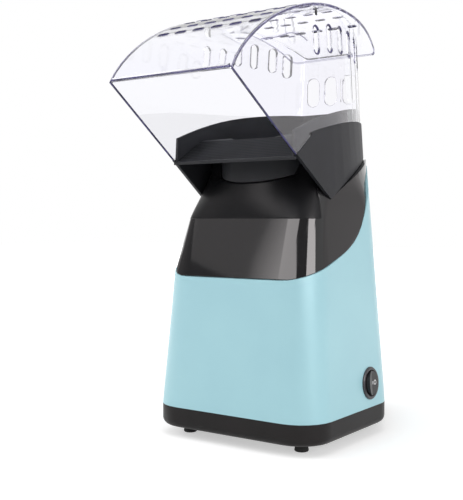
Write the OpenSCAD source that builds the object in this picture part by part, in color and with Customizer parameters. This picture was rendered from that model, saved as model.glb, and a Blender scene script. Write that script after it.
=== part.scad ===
/* [Overall] */
// Half width of the base at its top edge
base_hw = 70.08; // [66:0.01:75]
// Distance from the centre plane to the front of the base
base_front = 59.9; // [57:0.1:62]
// Distance from the centre plane to the rear of the base
base_rear = 122.55; // [116:0.05:126]
// Height of the top of the dark base band
band_top = 22.4; // [20:0.1:26]
// Height of the highest point of the hood
hood_top = 310.1; // [306:0.1:320]
// Distance from the centre plane to the front lip of the hood
hood_front = 122.55; // [112:0.05:126]

/* [Base and feet] */
// Height of the feet
foot_h = 7; // [5:0.5:9]
// Radius of a foot
foot_r = 5; // [4:0.5:6]
// Half distance between the two front feet
foot_x = 48.4; // [44:0.1:50]
// Half distance between the two rear feet
foot_rear_x = 30; // [24:1:36]
// Front feet, distance ahead of the centre plane
foot_front_y = 38; // [34:1:42]
// Rear feet, distance behind the centre plane
foot_rear_y = 92; // [80:1:98]
// Wall and floor of the base tray
tray_wall = 2.5; // [1.8:0.1:3.5]
// Rounding of the lower edge of the tray
tray_round = 5; // [3:0.5:6]
// Width of one air slot in the tray floor
grille_slot_w = 3; // [2:0.5:4]
// Number of air slots in the tray floor
grille_slots = 9; // [5:2:11]

/* [Housing] */
// Wall of the coloured housing shell
shell_wall = 2.2; // [1.6:0.1:3]
// Lean of the side and front walls, mm per mm of height
side_draft = 0.067; // [0.05:0.001:0.08]
// Lean of the rear wall, mm per mm of height
rear_draft = 0.15; // [0.12:0.005:0.17]
// Corner radius of the housing in plan
corner_r = 25; // [20:1:28]
// Height of the seam at the front
seam_front_z = 117; // [112:0.5:121]
// Gap along the seam between housing and cowl
seam_gap = 0.3; // [0.2:0.05:0.6]
// Radius of the cord inlet hole in the rear wall
inlet_r = 6; // [4.5:0.5:8]
// Height of the cord inlet above the band
inlet_up = 14; // [10:1:24]

/* [Cowl] */
// Wall of the dark cowl
cowl_wall = 2.2; // [1.6:0.1:3]
// Height of the crease round the front of the cowl
crease_z = 159; // [156:0.5:162]
// Top of the cowl's inner plate
cowl_top = 206; // [204:0.5:207]
// Inner radius of the cowl's collar round the chamber
collar_r = 38.4; // [38.2:0.1:39]
// Wall of the collar
collar_wall = 1.8; // [1.4:0.1:2.2]
// Height of the collar's rim
collar_top = 206.2; // [206:0.1:206.6]

/* [Chute] */
// Wall of the chute
chute_wall = 2.4; // [2.2:0.1:2.8]
// Thickness of the collar inside the hood
collar_t = 1.8; // [1.4:0.1:2.2]
// Clearance between the hood and the collar inside it
hood_play = 0.3; // [0.2:0.05:0.5]
// Height of the lowest corner of the chute's skirt
skirt_z = 172.6; // [170:0.1:175]
// Height of the front corner where chute and hood meet
lip_z = 201.4; // [199:0.1:203]
// Distance of that corner ahead of the centre plane
lip_y = 52.8; // [50:0.1:56]
// Height of the ridge across the chute's floor
ridge_z = 218; // [216:0.5:220]
// Distance of the ridge ahead of the centre plane
ridge_y = 22; // [20:0.5:24]
// Top face of the deck round the chamber's mouth
deck_z = 213.5; // [213:0.1:215]
// Thickness of floor and deck
deck_t = 2; // [1.5:0.1:2.2]
// Radius of the mouth in the deck
mouth_r = 37.5; // [36:0.5:38]
// Wall of the neck under the deck
neck_wall = 2; // [1.5:0.1:2.5]
// Clearance between the chute and the cowl
lift_gap = 0.4; // [0.3:0.05:0.6]

/* [Hood] */
// Wall of the clear hood
hood_wall = 1.8; // [1.4:0.1:2.4]
// Thickness of the hood's roof
roof_t = 2; // [1.5:0.1:2.6]
// Thickness of the bead round the front opening
rim_t = 3; // [2.4:0.1:3.6]
// Width of a slot in the side walls
side_slot_w = 8; // [6:0.5:10]
// Height of a slot in the side walls
side_slot_h = 19.5; // [14:0.5:22]
// Length of a vent in the roof
vent_l = 8.5; // [6:0.5:10]
// Width of a vent in the roof
vent_w = 3; // [2:0.5:4]
// Distance between columns of vents
vent_pitch = 15.3; // [12:0.1:16]

/* [Popping chamber and heater] */
// Inner radius of the popping chamber
chamber_r = 37; // [36:0.1:37.2]
// Sheet thickness of the chamber
sheet_t = 1; // [0.8:0.1:1.1]
// Height of the chamber's floor
chamber_z = 116; // [112:1:120]
// Number of louvres round the chamber
louvres = 20; // [12:1:24]
// Inner radius of the heater duct
duct_r = 41; // [40:0.5:42]
// Wall of the heater duct
duct_wall = 1.6; // [1.2:0.1:2]
// Thickness of the mica boards
mica_t = 1; // [0.6:0.1:1.4]
// Number of turns of the heating coil
coil_turns = 7; // [4:1:9]
// Radius of the heating wire
wire_r = 0.8; // [0.5:0.1:1]

/* [Motor and fan] */
// Radius of the motor's can
motor_r = 16; // [14:0.5:18]
// Length of the motor's can
motor_h = 28; // [24:1:30]
// Radius of the motor shaft
shaft_r = 1.5; // [1.2:0.1:2]
// Radius of the fan
fan_r = 37; // [34:0.5:38]
// Height of the fan's blades
blade_h = 11; // [8:0.5:12]
// Number of fan blades
blades = 8; // [5:1:12]
// Top of the fan deck that carries the motor
fan_deck_z = 57; // [54:0.5:60]
// Radial running clearance of the shaft
run_gap = 0.05; // [0.03:0.01:0.08]

/* [Power switch] */
// Outer radius of the switch bezel
bezel_r = 11.75; // [11.5:0.05:12.5]
// Radius of the round rocker
rocker_r = 8.85; // [8.4:0.05:9]
// Height of the switch centre
switch_z = 39.8; // [38:0.1:44]
// Switch centre, distance behind the centre plane
switch_y = 23.5; // [16:0.5:30]
// Angle from one rest position of the rocker to the other
rocker_swing = 18; // [14:1:20]

/* [Hidden] */
big = 400;
arc_n = 6;

// Plan of the housing at the band: wf, w, front, corner, side radius, flank distance, rear, rear radius
axis_y = 8;
flank_deg = 26.5;
hood_flank_deg = 27.5;
base_flank = 83;
rear_r = 22;
side_r = 190;
tower_rear = 87;
chute_rear = 92;
chute_flank = 68.9;
skirt_hw = 55.7;
hood_hw = 49.6;
collar_or = collar_r + collar_wall;
neck_r = collar_or + lift_gap;
neck_or = neck_r + neck_wall;
seal_t = 1.5;
flange_z = collar_top + seal_t;
tray_floor = foot_h + tray_wall;
motor_top = fan_deck_z - 3;
motor_bottom = motor_top - motor_h;
fan_z = fan_deck_z + 4;
heater_z = fan_z + blade_h + 5.5;
coil_r = 34;
deck_post_r = 48;
deck_post_deg = [90, 210, 330];
screw_spots = [[58, -28], [-58, -28], [48, 66], [-48, 66]];

// ---- curves -------------------------------------------------------------------------------------

function arc(c, r, a0, a1, n) = [for (i = [0 : n]) c + r * [cos(a0 + (a1 - a0) * i / n), sin(a0 + (a1 - a0) * i / n)]];

function bezier(a, b, c, d, n) = [for (i = [0 : n]) let (t = i / n, s = 1 - t)
    s * s * s * a + 3 * s * s * t * b + 3 * s * t * t * c + t * t * t * d];

// Arc through two points that bulges to the left of the way from p to q
function bulge(p, q, sag, n) = let (
    chord = q - p,
    len = norm(chord),
    side = [-chord[1], chord[0]] / len,
    r = (len * len / 4 + sag * sag) / (2 * sag),
    c = (p + q) / 2 + side * (sag - r),
    a0 = atan2((p - c)[1], (p - c)[0]),
    a1 = atan2((q - c)[1], (q - c)[0]))
    arc(c, abs(r), a0, a1, n);

function flip_x(pts) = [for (i = [len(pts) - 1 : -1 : 0]) [-pts[i][0], pts[i][1]]];

// Plan outline of the body: front corner, long side curve, flank that leans inwards, rear corner.
// p = [front half width, half width, front, front radius, side radius, flank distance, rear, rear radius]
function plan(p, inset, phi) = let (
    wf = p[0], w = p[1], f = p[2], rf = p[3], rs = p[4], fd = p[5], rear = p[6], rr = p[7],
    ys = (fd - rs - (w - rs) * cos(phi)) / sin(phi),
    xr = (fd - rr - (rear - rr) * sin(phi)) / cos(phi),
    a = [wf - rf, rf - f],
    b = [w - rs, ys],
    d = b - a,
    psi = atan2(d[1], d[0]) - acos(max(-1, min(1, (rf - rs) / norm(d)))),
    turn = psi < -180 ? psi + 360 : psi,
    half = concat(
        arc(a, rf - inset, -90, turn, arc_n),
        arc(b, rs - inset, turn, phi, arc_n),
        arc([xr, rear - rr], rr - inset, phi, 90, arc_n)))
    concat(half, flip_x(half));

// Solid through a stack of outlines with equal point counts; levels = [[z, outline], ...]
module loft(levels) {
    n = len(levels[0][1]);
    m = len(levels);
    points = [for (level = levels) for (q = level[1]) [q[0], q[1], level[0]]];
    sides = [for (i = [0 : m - 2]) for (j = [0 : n - 1]) let (k = (j + 1) % n, b = i * n, t = (i + 1) * n)
        each [[b + j, t + j, t + k], [b + j, t + k, b + k]]];
    bottom = [[for (j = [0 : n - 1]) j]];
    top = [[for (j = [n - 1 : -1 : 0]) (m - 1) * n + j]];
    polyhedron(points, concat(sides, bottom, top));
}

// Stack of hulls through convex outlines; levels as in loft()
module taper(levels) {
    for (i = [0 : len(levels) - 2])
        hull()
            loft([levels[i], levels[i + 1]]);
}

// Upright block whose two sides lean inwards alike: outline is its plan at height z
module leaning_block(outline, z, slope, below, above) {
    for (side = [0, 1])
        mirror([side, 0, 0])
            intersection() {
                translate([-0.4, -big / 2, z - below])
                    cube([big, big, below + above]);
                translate([0, 0, z])
                    rotate([0, -atan(slope), 0])
                        translate([0, 0, -below - 10])
                            linear_extrude(below + above + 20)
                                polygon(outline);
            }
}

// Bar along X whose section is a list of [y, z] points
module bar(section, half = big / 2) {
    rotate([90, 0, 90])
        translate([0, 0, -half])
            linear_extrude(2 * half)
                polygon(section);
}

// ---- plans at each height -----------------------------------------------------------------------

function shell_plan(z) = let (t = z - band_top)
    [base_hw - side_draft * t, base_hw - side_draft * t, base_front - side_draft * t, corner_r, corner_r,
     base_flank - 0.081 * t, base_rear - rear_draft * t, rear_r];

function shell_level(z, inset = 0) = [z, plan(shell_plan(z), inset, flank_deg)];

// Stations of the cowl from the crease to its top plate
cowl_stations = [
    [crease_z, [57.5, shell_plan(crease_z)[1], 39.5, 20, 25, 71.9, 102, 22]],
    [175, [54.5, 58.5, 29.3, 20, 40, 70.4, 99.6, 20]],
    [190, [53.5, 54.5, 21, 18, 95, 68.8, 97.4, 16]],
    [cowl_top, [53, 53.6, 15, 16, 150, 67.8, 95, 12]]];
cowl_steps = 3;

// Smooth value between b and c, led by their neighbours a and d
function spline(a, b, c, d, t) = b + ((c - a) * t + (2 * a - 5 * b + 4 * c - d) * t * t
    + (3 * b - 3 * c + d - a) * t * t * t) / 2;

function cowl_station(i, k) = let (
    s = cowl_stations,
    b = s[i],
    c = s[i + 1],
    a = i > 0 ? s[i - 1] : [2 * b[0] - c[0], 2 * b[1] - c[1]],
    d = i + 2 < len(s) ? s[i + 2] : [2 * c[0] - b[0], 2 * c[1] - b[1]],
    t = k / cowl_steps)
    [spline(a[0], b[0], c[0], d[0], t), spline(a[1], b[1], c[1], d[1], t)];

function cowl_levels(inset) = [
    for (s = concat(
        [[seam_front_z + 1, shell_plan(seam_front_z + 1)]],
        [for (i = [0 : len(cowl_stations) - 2]) for (k = [0 : cowl_steps - 1]) cowl_station(i, k)],
        [cowl_stations[len(cowl_stations) - 1]]))
    [s[0], plan(s[1], inset, flank_deg)]];

function chute_plan(z) = let (t = z - skirt_z)
    [skirt_hw - 0.08 * t, skirt_hw - 0.08 * t, hood_front + 20, 6, side_r, chute_flank - 0.06 * t,
     chute_rear - 0.03 * t, 8];

function chute_level(z, inset = 0) = [z, plan(chute_plan(z), inset, hood_flank_deg)];

function chute_levels(inset) = [chute_level(165, inset), chute_level(255, inset)];

// Plan of the hood, whose sides lean in by hood_lean; its rear stands inside the chute's rear
hood_mid_z = 226;
hood_mid_hw = 51.4;
hood_lean = 0.055;
function hood_plan(z) = let (t = hood_lean * (z - hood_mid_z))
    [hood_mid_hw - t, hood_mid_hw - t, hood_front + 20, 6, side_r, 64.9 - t * cos(hood_flank_deg), tower_rear, 6];

function hood_level(z, inset = 0) = [z, plan(hood_plan(z), inset, hood_flank_deg)];

// The collar stands just inside the hood's walls
function collar_levels(inset) = [for (z = [165, 248.9]) hood_level(z, hood_wall + hood_play + inset)];

// ---- edges in side view, as [y, z] --------------------------------------------------------------

// Seam between housing and cowl, from front to rear
function seam(rise) = let (up = [0, rise], z0 = seam_front_z)
    concat(
        [[-base_front - 20, z0] + up],
        [for (q = bezier([-54, z0], [1, z0 + 21.2], [16.6, z0 + 17], [35.5, z0 + 55], 10)) q + up],
        [for (q = bezier([35.5, z0 + 55], [42, z0 + 67], [56, z0 + 80], [110, z0 + 90], 5)) q + up]);

// Lower edge of the chute's skirt, from the lowest corner to the rear
function skirt_edge() = bulge([-10.9, skirt_z], [110, skirt_z + 39], 6.2, 10);

// Edge on the chute that carries the hood, from the rear to the front
step_start = [-32.4, lip_z + 16.2];
function step_edge() = bulge([110, 234], step_start, -5.6, 12);

lip = [-lip_y, lip_z];
notch = [-32.4, lip_z + 14.3];
mouth_lip = [-hood_front, 248.8];

// Upper edge of the collar inside the hood
function rim_edge() = bulge([110, 244.5], [-52.4, lip_z + 15.9], -8.4, 12);

roof_crown = [8, hood_top];
function roof_line(drop) = let (d = [0, -drop]) concat(
    bezier(mouth_lip + [drop * 0.8, 0], [-102.9 + drop * 0.6, 281.1 - drop * 0.6], [-45.3, hood_top] + d, roof_crown + d, 14),
    [for (i = [1 : 8]) bezier(roof_crown + d, [45, hood_top] + d, [72, 304] + d, [92, 290] + d, 8)[i]]);

// ---- base ---------------------------------------------------------------------------------------

module stadium(l, w, h) {
    linear_extrude(h)
        union() {
            square([l - w, w], center = true);
            for (side = [-1, 1])
                translate([side * (l - w) / 2, 0])
                    circle(d = w, $fn = 20);
        }
}

function tray_level(z, inset) = [z, plan([base_hw, base_hw, base_front, corner_r, corner_r, base_flank,
    base_rear, rear_r], inset, flank_deg)];

// Levels of the tray with a rounded lower edge
function tray_levels(inset) = concat(
    [for (i = [0 : 4]) let (a = 90 * i / 4)
        tray_level(foot_h + inset + tray_round * (1 - cos(a)), inset + tray_round * (1 - sin(a)))],
    [tray_level(band_top + (inset > 0 ? 1 : 0), inset)]);

module at_deck_posts() {
    for (a = deck_post_deg)
        translate([deck_post_r * cos(a), axis_y + deck_post_r * sin(a), 0])
            children();
}

module base_tray() {
    color("#464344")
        difference() {
            union() {
                difference() {
                    loft(tray_levels(0));
                    loft(tray_levels(tray_wall));
                }
                at_deck_posts()
                    translate([0, 0, tray_floor - 0.5])
                        cylinder(r = 4, h = motor_top - tray_floor + 0.5, $fn = 32);
                for (p = screw_spots)
                    translate([p[0], p[1], tray_floor - 0.5])
                        cylinder(r = 4.5, h = band_top - tray_floor + 0.5, $fn = 32);
            }
            for (i = [0 : grille_slots - 1])
                let (x = (i - (grille_slots - 1) / 2) * grille_slot_w * 2)
                    translate([x, axis_y, foot_h - 1])
                        rotate([0, 0, 90])
                            stadium(2 * sqrt(32 * 32 - x * x), grille_slot_w, tray_wall + 2);
            at_deck_posts()
                translate([0, 0, motor_top - 12])
                    cylinder(r = 1.25, h = 13, $fn = 24);
            for (p = screw_spots)
                translate([p[0], p[1], 0]) {
                    translate([0, 0, foot_h - 1])
                        cylinder(r = 1.9, h = big, $fn = 24);
                    translate([0, 0, foot_h - 1])
                        cylinder(r = 3.4, h = 4, $fn = 32);
                }
        }
}

// Rubber foot with a waist and a rounded sole
module foot(x, y) {
    color("#232223")
        translate([x, y, 0])
            rotate_extrude($fn = 48)
                polygon(concat(
                    [[0, 0], [foot_r - 1.2, 0]],
                    arc([foot_r - 1.2, 1.2], 1.2, -60, 30, 4),
                    [[foot_r - 0.7, foot_h - 2], [foot_r, foot_h], [0, foot_h]]));
}

module foot_front_left() {
    foot(-foot_x, -foot_front_y);
}

module foot_front_right() {
    foot(foot_x, -foot_front_y);
}

module foot_rear_left() {
    foot(-foot_rear_x, foot_rear_y);
}

module foot_rear_right() {
    foot(foot_rear_x, foot_rear_y);
}

module base_screws() {
    color("silver")
        for (p = screw_spots)
            translate([p[0], p[1], foot_h + 3]) {
                translate([0, 0, -2])
                    cylinder(r = 3, h = 2, $fn = 32);
                cylinder(r = 1.5, h = band_top + 12 - foot_h - 3, $fn = 24);
            }
}

// ---- housing ------------------------------------------------------------------------------------

switch_x = shell_plan(switch_z)[1];
side_lean = atan(side_draft);

// Children stand on the switch centre: Z outwards, Y up the wall
module at_switch() {
    translate([switch_x, switch_y, switch_z])
        rotate([0, -side_lean, 0])
            rotate([90, 0, 90])
                children();
}

module at_inlet() {
    translate([0, shell_plan(band_top + inlet_up)[6], band_top + inlet_up])
        rotate([atan(rear_draft) - 90, 0, 0])
            children();
}

barrel_r = bezel_r - 1.3;

// Screw bosses with a rib to the nearest wall
module shell_bosses() {
    for (p = screw_spots) {
        translate([p[0], p[1], band_top])
            cylinder(r = 4.5, h = 16, $fn = 32);
        translate([p[0] > 0 ? p[0] : p[0] - 20, p[1] - 1, band_top])
            cube([20, 2, 16]);
    }
}

module housing_shell() {
    color("#b3dde3")
        difference() {
            loft([shell_level(band_top), shell_level(206)]);
            difference() {
                loft([shell_level(band_top - 1, shell_wall), shell_level(207, shell_wall)]);
                shell_bosses();
            }
            bar(concat(seam(0), [[200, 250], [-200, 250], [-200, seam_front_z]]));
            at_switch()
                translate([0, 0, -8])
                    cylinder(r = barrel_r + 0.1, h = 16, $fn = 64);
            at_inlet()
                translate([0, 0, -10])
                    cylinder(r = inlet_r, h = 20, $fn = 48);
            for (p = screw_spots)
                translate([p[0], p[1], band_top - 1])
                    cylinder(r = 1.55, h = 14, $fn = 24);
        }
}

// Gland in the rear wall that the mains cord enters
module cord_inlet() {
    color("#2f2c2d")
        at_inlet()
            rotate_extrude($fn = 48)
                polygon([[3.6, -6], [inlet_r - 0.1, -6], [inlet_r - 0.1, 0.1], [inlet_r + 2.5, 0.1],
                         [inlet_r + 2, 2], [3.6, 2]]);
}

// ---- cowl ---------------------------------------------------------------------------------------

module around_axis() {
    translate([0, axis_y, 0])
        children();
}

module cowl() {
    skirt_zone = concat([[-200, skirt_z + 130], [-lip_y - 60, lip_z + 41.2]], skirt_edge(), [[200, 250], [200, 302]]);
    color("#4a4b4d")
        difference() {
            union() {
                difference() {
                    taper(cowl_levels(0));
                    difference() {
                        translate([0, 0, -lift_gap])
                            bar(skirt_zone);
                        taper([chute_level(160, chute_wall + lift_gap), chute_level(214, chute_wall + lift_gap)]);
                    }
                    intersection() {
                        taper(cowl_levels(cowl_wall));
                        translate([0, 0, -3])
                            bar(concat([[-200, 100], [-200, 240], [-12, skirt_z - 2]],
                                       skirt_edge(), [[200, 215], [200, 100]]));
                    }
                    translate([0, 0, -2.5])
                        taper(cowl_levels(6));
                }
                around_axis()
                    translate([0, 0, 168])
                        cylinder(r = collar_or, h = collar_top - 168, $fn = 96);
            }
            bar(concat(seam(seam_gap), [[200, 100], [-200, 100]]));
            around_axis() {
                translate([0, 0, 100])
                    cylinder(r = collar_r, h = 120, $fn = 96);
                difference() {
                    translate([0, 0, 150])
                        cylinder(r = neck_or + lift_gap, h = 80, $fn = 96);
                    translate([0, 0, 149])
                        cylinder(r = collar_or, h = 82, $fn = 96);
                    translate([0, -axis_y, -lift_gap])
                        bar(neck_bottom());
                }
            }
        }
}

// Region below the oblique lower edge of the chute's neck
function neck_bottom() = [[-100, 0], [-100, 160], [-34, 185], [60, 221], [100, 221], [100, 0]];

// ---- chute --------------------------------------------------------------------------------------

module chute() {
    rim = rim_edge();
    step = step_edge();
    outside = concat([lip], skirt_edge(), step, [notch]);
    ledge = concat(step, [for (i = [len(step) - 1 : -1 : 0]) step[i] - [0, 2.4]]);
    collar = concat([[-52.4, lip_z - 1.5], [-30, 211], [0, 218], [110, 231]], rim);
    color("#3c3d40")
        difference() {
            union() {
                intersection() {
                    chute_ring(0, chute_wall);
                    bar(outside);
                }
                intersection() {
                    difference() {
                        taper(chute_levels(0));
                        taper(collar_levels(collar_t));
                    }
                    bar(ledge);
                }
                intersection() {
                    difference() {
                        taper(collar_levels(0));
                        taper(collar_levels(collar_t));
                    }
                    bar(collar);
                }
                chute_floor();
                chute_neck();
            }
            around_axis()
                translate([0, 0, deck_z - 20])
                    cylinder(r = mouth_r, h = 40, $fn = 96);
        }
}

module chute_ring(outer, inner) {
    difference() {
        taper(chute_levels(outer));
        taper(chute_levels(inner));
    }
}

// Sloped tray in front, ridge, and the flat deck round the mouth
module chute_floor() {
    slope = [[-lip_y, lip_z - 1.4], [-ridge_y - 1.5, ridge_z - 0.4], [-ridge_y, ridge_z], [-ridge_y + 1.5, ridge_z - 1],
             [-ridge_y + 3, deck_z], [110, deck_z]];
    under = [[110, deck_z - deck_t], [-ridge_y + 1, deck_z - deck_t], [-ridge_y - 1, ridge_z - deck_t - 1.5],
             [-lip_y + 0.5, lip_z - 1.4 - deck_t]];
    intersection() {
        taper(chute_levels(chute_wall - 0.6));
        bar(concat(slope, under));
    }
}

module chute_neck() {
    around_axis()
        difference() {
            cylinder(r = neck_or, h = 230, $fn = 96);
            translate([0, 0, -1])
                cylinder(r = neck_r, h = deck_z - deck_t + 1, $fn = 96);
            translate([0, -axis_y, 0]) {
                bar(neck_bottom());
                bar([[-ridge_y + 0.5, deck_z - 1], [110, deck_z - 1], [110, 260], [-100, 260], [-lip_y, lip_z - 2.4],
                     [-ridge_y - 1, ridge_z - 1.5]]);
            }
        }
}

// ---- hood ---------------------------------------------------------------------------------------

hood_gap = 0.1;
snap_y = 20;
snap_w = 6;
slot_rows = [[-19, 282.5], [0, 286.5], [18, 288.5], [36, 288.5], [55, 287.5], [69, 284.5]];

// Region of the hood's walls in side view
function hood_side() = let (up = [0, hood_gap], step = step_edge(), roof = roof_line(roof_t)) concat(
    [lip + up, notch + up, step_start + up],
    [for (i = [len(step) - 2 : -1 : 0]) step[i] + up],
    [for (i = [len(roof) - 1 : -1 : 0]) roof[i]]);

module hood_block(inset) {
    leaning_block(plan(hood_plan(hood_mid_z), inset, hood_flank_deg), hood_mid_z, hood_lean, 32, 90);
}

module side_slots() {
    for (s = slot_rows)
        translate([-big / 2, s[0], s[1]])
            rotate([0, 90, 0])
                stadium(side_slot_h, side_slot_w, big);
}

module hood_walls() {
    color([0.93, 0.93, 0.96, 0.35])
        difference() {
            intersection() {
                hood_block(0);
                bar(hood_side());
            }
            hood_block(hood_wall);
            side_slots();
            translate([-big / 2, -snap_y - snap_w / 2, 299.5])
                cube([big, snap_w, 5.5]);
            for (x = [-17, 0, 17])
                translate([x, tower_rear + 6, 263.4])
                    rotate([90, 90, 0])
                        stadium(23.6, 11.8, 12);
        }
}

vent_rows = [-80, -67, -51, -37, -21, -4.4, 10.5, 28, 49.7];

module hood_roof() {
    color([0.93, 0.93, 0.96, 0.35])
        difference() {
            union() {
                intersection() {
                    bar(concat(roof_line(roof_t), [for (i = [22 : -1 : 0]) roof_line(0)[i]]));
                    linear_extrude(320)
                        polygon(plan([hood_hw, hood_hw, hood_front, 1, 300, 60.1, 90, 5], 0, 14.5));
                }
                bar(arc(mouth_lip + [rim_t / 2, rim_t / 2], rim_t / 2, 0, 345, 23), hood_hw - hood_wall - 0.1);
            }
            for (y = vent_rows)
                for (i = [-2.5 : 1 : 2.5])
                    translate([i * vent_pitch, y, 252])
                        stadium(vent_l, vent_w, 80);
        }
}

// ---- popping chamber and heater -----------------------------------------------------------------

chamber_or = chamber_r + sheet_t;
plenum_top = chamber_z + 24;

module popping_chamber() {
    color("#c9cacb")
        around_axis()
            difference() {
                rotate_extrude($fn = 120)
                    polygon([[0, chamber_z + 7], [9, chamber_z + 6], [chamber_r - 4, chamber_z + 1],
                             [chamber_r, chamber_z + 3], [chamber_r, flange_z + sheet_t],
                             [collar_or - 0.2, flange_z + sheet_t], [collar_or - 0.2, flange_z],
                             [chamber_or, flange_z], [chamber_or, chamber_z], [chamber_r - 4, chamber_z],
                             [9, chamber_z + 5], [0, chamber_z + 6]]);
                for (i = [0 : louvres - 1])
                    rotate([0, 0, i * 360 / louvres])
                        translate([chamber_r, 0, chamber_z + 10])
                            rotate([35, 0, 0])
                                cube([4, 1.6, 9], center = true);
            }
}

module chamber_seal() {
    color("#b5482f")
        around_axis()
            translate([0, 0, collar_top])
                difference() {
                    cylinder(r = collar_or - 0.1, h = seal_t, $fn = 96);
                    translate([0, 0, -1])
                        cylinder(r = collar_r, h = seal_t + 2, $fn = 96);
                }
}

duct_or = duct_r + duct_wall;

module heat_duct() {
    color("#8f9092")
        around_axis()
            rotate_extrude($fn = 120)
                polygon([[duct_r, fan_deck_z], [duct_or + 2.2, fan_deck_z], [duct_or + 2.2, fan_deck_z + 1.6],
                         [duct_or, fan_deck_z + 1.6], [duct_or, plenum_top], [chamber_or + 0.1, plenum_top],
                         [chamber_or + 0.1, plenum_top - 1.5], [duct_r, plenum_top - 1.5],
                         [duct_r, heater_z], [duct_r - 1.5, heater_z - 0.2], [duct_r - 1.5, heater_z - 2],
                         [duct_r, heater_z - 4]]);
}

board_h = chamber_z - heater_z - 3;

// Heater board: wide foot on the duct's ledge, narrower body that carries the wire
module mica_board(slot_up) {
    wide = duct_r - 0.3;
    narrow = coil_r - wire_r - 0.2;
    rotate([90, 0, 0])
        translate([0, 0, -mica_t / 2])
            linear_extrude(mica_t)
                difference() {
                    polygon([[-wide, heater_z], [wide, heater_z], [wide, heater_z + 4], [narrow, heater_z + 4],
                             [narrow, heater_z + board_h], [-narrow, heater_z + board_h],
                             [-narrow, heater_z + 4], [-wide, heater_z + 4]]);
                    translate([-mica_t / 2 - 0.1, slot_up ? heater_z + board_h / 2 - 0.1 : heater_z - 1])
                        square([mica_t + 0.2, board_h / 2 + 1.2]);
                }
}

module mica_board_a() {
    color("#d9c9a3")
        around_axis()
            mica_board(true);
}

module mica_board_b() {
    color("#d9c9a3")
        around_axis()
            rotate([0, 0, 90])
                mica_board(false);
}

module heater_coil() {
    color("#9a9690")
        around_axis()
            for (i = [0 : coil_turns - 1])
                translate([0, 0, heater_z + 7 + i * (board_h - 10) / (coil_turns - 1)])
                    rotate_extrude($fn = 48)
                        translate([coil_r, 0])
                            circle(r = wire_r, $fn = 16);
}

// Bimetal cut-out on the face of one board
module thermal_cutoff() {
    color("#e6e2d6")
        translate([16, axis_y + mica_t / 2 + 0.1, heater_z + board_h / 2])
            rotate([-90, 0, 0])
                union() {
                    cylinder(r = 6.5, h = 4, $fn = 40);
                    translate([0, 0, 3.5])
                        cylinder(r = 4.5, h = 3, $fn = 40);
                }
}

module thermal_fuse() {
    color("#c8b070")
        translate([-22, axis_y - mica_t / 2 - 2.2, heater_z + board_h / 2])
            rotate([0, 90, 0])
                cylinder(r = 2, h = 12, $fn = 32);
}

// ---- motor and fan ------------------------------------------------------------------------------

// Plate that carries motor, duct and heater on the tray's posts
module fan_deck() {
    color("#6d6e70")
        around_axis()
            difference() {
                union() {
                    translate([0, 0, motor_top])
                        cylinder(r = duct_or + 4, h = fan_deck_z - motor_top, $fn = 96);
                    for (a = deck_post_deg)
                        rotate([0, 0, a])
                            translate([deck_post_r, 0, motor_top])
                                cylinder(r = 5, h = fan_deck_z - motor_top, $fn = 32);
                }
                translate([0, 0, motor_top - 1])
                    cylinder(r = 5, h = 10, $fn = 48);
                for (a = [0 : 60 : 300])
                    rotate([0, 0, a + 30])
                        rotate_extrude(angle = 44, $fn = 72)
                            translate([motor_r + 4, motor_top - 1])
                                square([14, 10]);
                for (a = deck_post_deg)
                    rotate([0, 0, a])
                        translate([deck_post_r, 0, motor_top - 1])
                            cylinder(r = 1.75, h = 10, $fn = 24);
            }
}

module deck_screws() {
    color("silver")
        at_deck_posts()
            translate([0, 0, fan_deck_z]) {
                cylinder(r = 2.8, h = 1.8, $fn = 32);
                translate([0, 0, -12])
                    cylinder(r = 1.2, h = 12.5, $fn = 24);
            }
}

module motor_can() {
    color("#a7a9ab")
        around_axis()
            difference() {
                translate([0, 0, motor_bottom])
                    cylinder(r = motor_r, h = motor_h, $fn = 72);
                translate([0, 0, motor_bottom - 1])
                    cylinder(r = motor_r - 1.4, h = motor_h - 0.5, $fn = 72);
                translate([0, 0, motor_top - 3])
                    cylinder(r = 4, h = 6, $fn = 40);
            }
}

module motor_endcap() {
    color("#2b2b2d")
        around_axis()
            difference() {
                translate([0, 0, motor_bottom - 3])
                    cylinder(r = motor_r, h = 3, $fn = 72);
                translate([0, 0, motor_bottom - 4])
                    cylinder(r = 4, h = 6, $fn = 40);
            }
}

module bearing(z, h) {
    color("#b08d57")
        around_axis()
            translate([0, 0, z])
                difference() {
                    cylinder(r = 3.95, h = h, $fn = 40);
                    translate([0, 0, -1])
                        cylinder(r = shaft_r + run_gap, h = h + 2, $fn = 40);
                }
}

module bearing_upper() {
    bearing(motor_top - 1.5, 5);
}

module bearing_lower() {
    bearing(motor_bottom - 3.5, 4);
}

module motor_shaft() {
    color("#d0d2d4")
        around_axis()
            translate([0, 0, motor_bottom - 5])
                cylinder(r = shaft_r, h = fan_z + 9 - motor_bottom + 5, $fn = 40);
}

// Laminated core with its commutator, pressed on the shaft
module armature() {
    color("#9c5a34")
        around_axis()
            difference() {
                union() {
                    translate([0, 0, motor_bottom + 8])
                        cylinder(r = motor_r - 3, h = 14, $fn = 48);
                    translate([0, 0, motor_bottom + 2])
                        cylinder(r = 4.5, h = 6.5, $fn = 32);
                }
                cylinder(r = shaft_r + 0.01, h = 100, $fn = 40);
            }
}

module fan() {
    color("#38393b")
        around_axis()
            translate([0, 0, fan_z])
                difference() {
                    union() {
                        cylinder(r = 5, h = 8, $fn = 48);
                        cylinder(r = fan_r, h = 1.5, $fn = 96);
                        for (i = [0 : blades - 1])
                            rotate([0, 0, i * 360 / blades])
                                translate([12, -0.6, 1])
                                    cube([fan_r - 12.5, 1.2, blade_h - 1]);
                    }
                    translate([0, 0, -1])
                        cylinder(r = shaft_r + 0.01, h = 20, $fn = 40);
                }
}

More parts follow.
